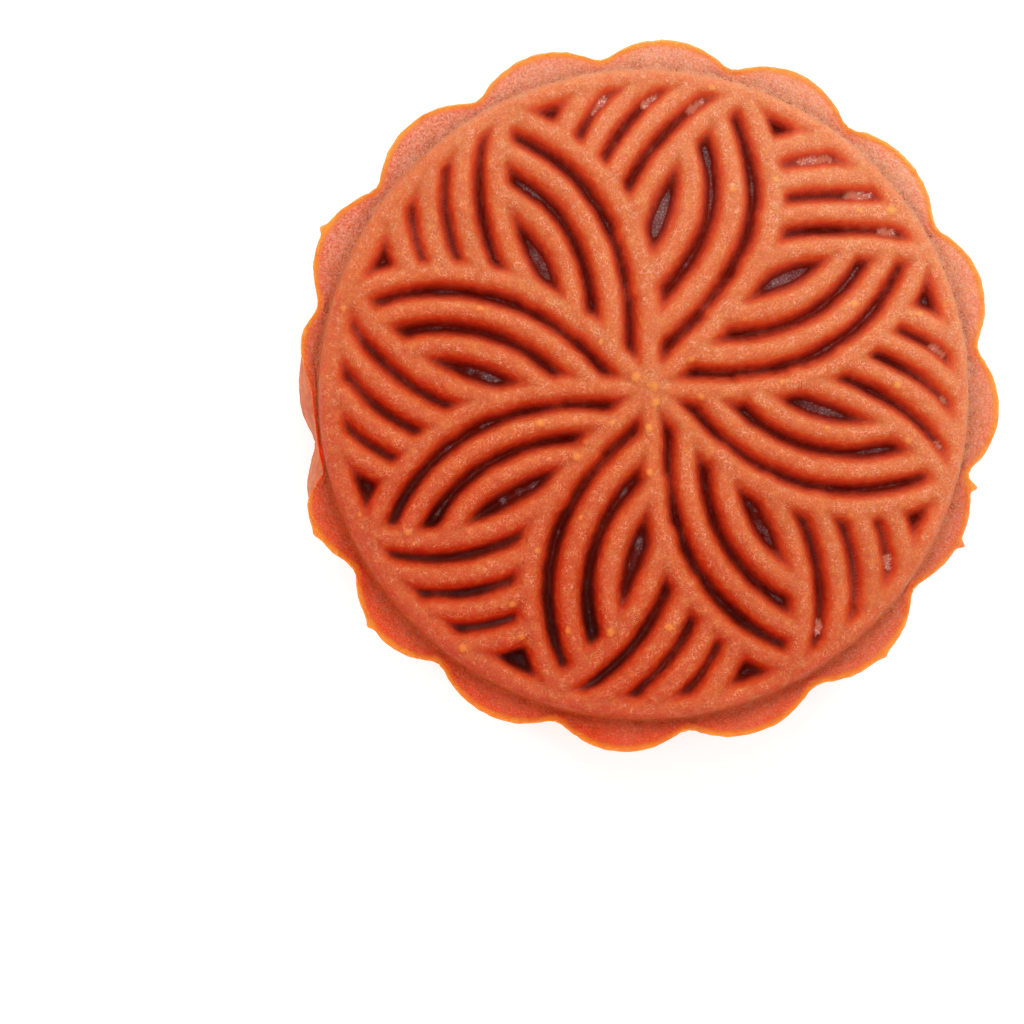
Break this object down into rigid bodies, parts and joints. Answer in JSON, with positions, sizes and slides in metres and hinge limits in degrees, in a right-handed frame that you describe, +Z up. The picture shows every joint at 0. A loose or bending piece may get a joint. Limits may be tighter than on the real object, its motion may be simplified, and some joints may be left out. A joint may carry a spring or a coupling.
{
  "type": "mooncake",
  "caption": "Round baked mooncake with a scalloped wall, a thin raised lip and a moulded flower of curved ridges on its raised top.",
  "frame": {"origin": "middle of the flat underside", "axes": "+Z up out of the patterned top; X and Y lie in the underside, and the pattern's first spoke leaves along +X"},
  "size_m": [0.0754, 0.0754, 0.0303],
  "materials": {
    "crust": "baked orange-brown crust, satin with an oily gloss in the grooves"
  },
  "bodies": {
    "root": {"mooncake": "crust"}
  },
  "joints": []
}
